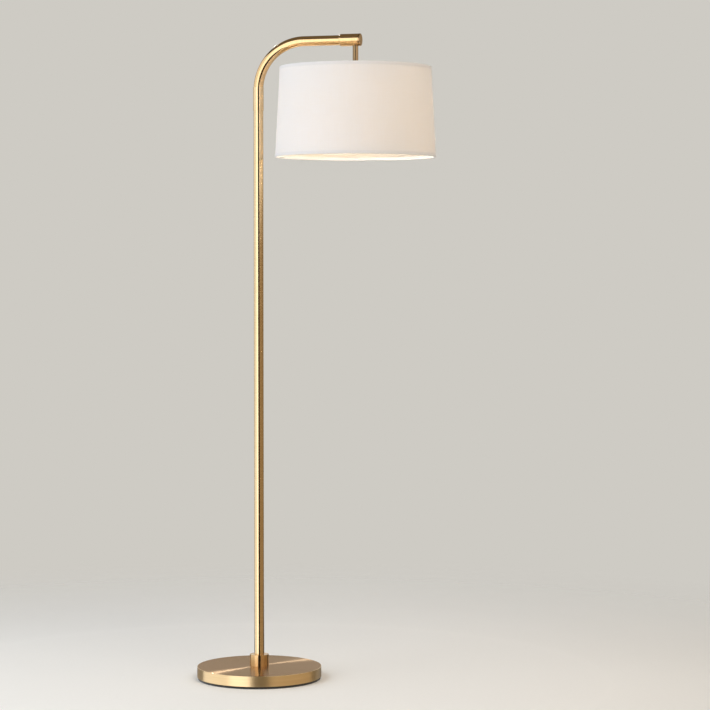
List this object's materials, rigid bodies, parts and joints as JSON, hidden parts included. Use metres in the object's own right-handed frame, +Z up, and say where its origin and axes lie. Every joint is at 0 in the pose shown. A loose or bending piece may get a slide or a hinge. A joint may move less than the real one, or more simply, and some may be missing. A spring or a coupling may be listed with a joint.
{
  "type": "arm floor lamp",
  "caption": "Floor lamp with a round weighted base, a slim pole, a bent arm that swivels, and a drum shade that hangs from the arm's end and tilts.",
  "frame": {"origin": "centre of the base's underside on the floor, on the pole's axis", "axes": "+Z up along the pole; +X along the arm at rest, from the pole to the shade; the cord inlet is on the +Y side"},
  "size_m": [0.6219, 0.4074, 1.6503],
  "materials": {
    "warm_gold": "warm gold plate, fine brushed and lacquered",
    "dark_gold": "warm gold plate, turned face",
    "zinc_steel": "zinc plated, satin",
    "cast_iron": "as cast, painted",
    "black_felt": "pressed felt",
    "black_plastic": "moulded, satin",
    "lead_sheath": "extruded sheath, satin",
    "white_nylon": "moulded, satin",
    "plain_brass": "turned",
    "white_wire": "white powder coat",
    "white_linen": "plain weave linen",
    "shade_lining": "satin white sheet, laminated",
    "opal_glass": "opal",
    "bulb_metal": "rolled thread"
  },
  "bodies": {
    "stand": {"base_cover": "warm_gold", "base_weight": "cast_iron", "base_plate": "zinc_steel", "base_pad": "black_felt", "base_nipple": "zinc_steel", "base_washer": "zinc_steel", "base_nut": "zinc_steel", "cord_inlet": "black_plastic", "hub_collar": "warm_gold", "pole_foot": "zinc_steel", "pole_lower": "warm_gold", "pole_middle": "warm_gold", "pole_upper": "warm_gold", "pole_coupler_lower": "zinc_steel", "pole_coupler_upper": "zinc_steel", "lead_pole": "lead_sheath", "swivel_spindle": "zinc_steel", "swivel_washer": "white_nylon", "swivel_spring": "zinc_steel", "swivel_nut": "zinc_steel", "swivel_stop_pin": "zinc_steel"},
    "arm": {"swivel_collar": "warm_gold", "collar_screw": "zinc_steel", "arm_plug": "plain_brass", "arm_tube": "warm_gold", "arm_end_bush": "plain_brass", "lead_arm": "lead_sheath"},
    "head": {"knuckle_sleeve": "warm_gold", "knuckle_end_cap": "dark_gold", "tilt_screw": "zinc_steel", "tilt_spring": "zinc_steel", "tilt_washer": "white_nylon", "stem_nipple": "plain_brass", "stem_nut": "plain_brass", "stem_tube": "warm_gold", "lead_head": "lead_sheath", "socket_nipple": "plain_brass", "socket_cap": "warm_gold", "socket_body": "black_plastic", "socket_screw_shell": "plain_brass", "socket_contact": "plain_brass", "shade_ring_nut": "black_plastic", "shade_frame": "white_wire", "shade_bottom_wire": "white_wire", "shade_fabric": "white_linen", "shade_liner": "shade_lining", "shade_top_trim": "white_linen", "shade_bottom_trim": "white_linen", "bulb_glass": "opal_glass", "bulb_cap": "bulb_metal"},
    "switch": {"switch_shaft": "plain_brass", "switch_knob": "black_plastic"}
  },
  "joints": [
    {"name": "arm_swivel", "type": "hinge", "parent": "stand", "child": "arm", "pos_m": [0, 0, 1.483], "axis": [0, 0, 1], "range_deg": [-165, 165]},
    {"name": "shade_tilt", "type": "hinge", "parent": "arm", "child": "head", "pos_m": [0.234, 0, 1.6347], "axis": [1, 0, 0], "range_deg": [-45, 45]},
    {"name": "switch_turn", "type": "hinge", "parent": "head", "child": "switch", "pos_m": [0.2582, -0.03, 1.519], "axis": [0, -1, 0], "continuous": true}
  ]
}
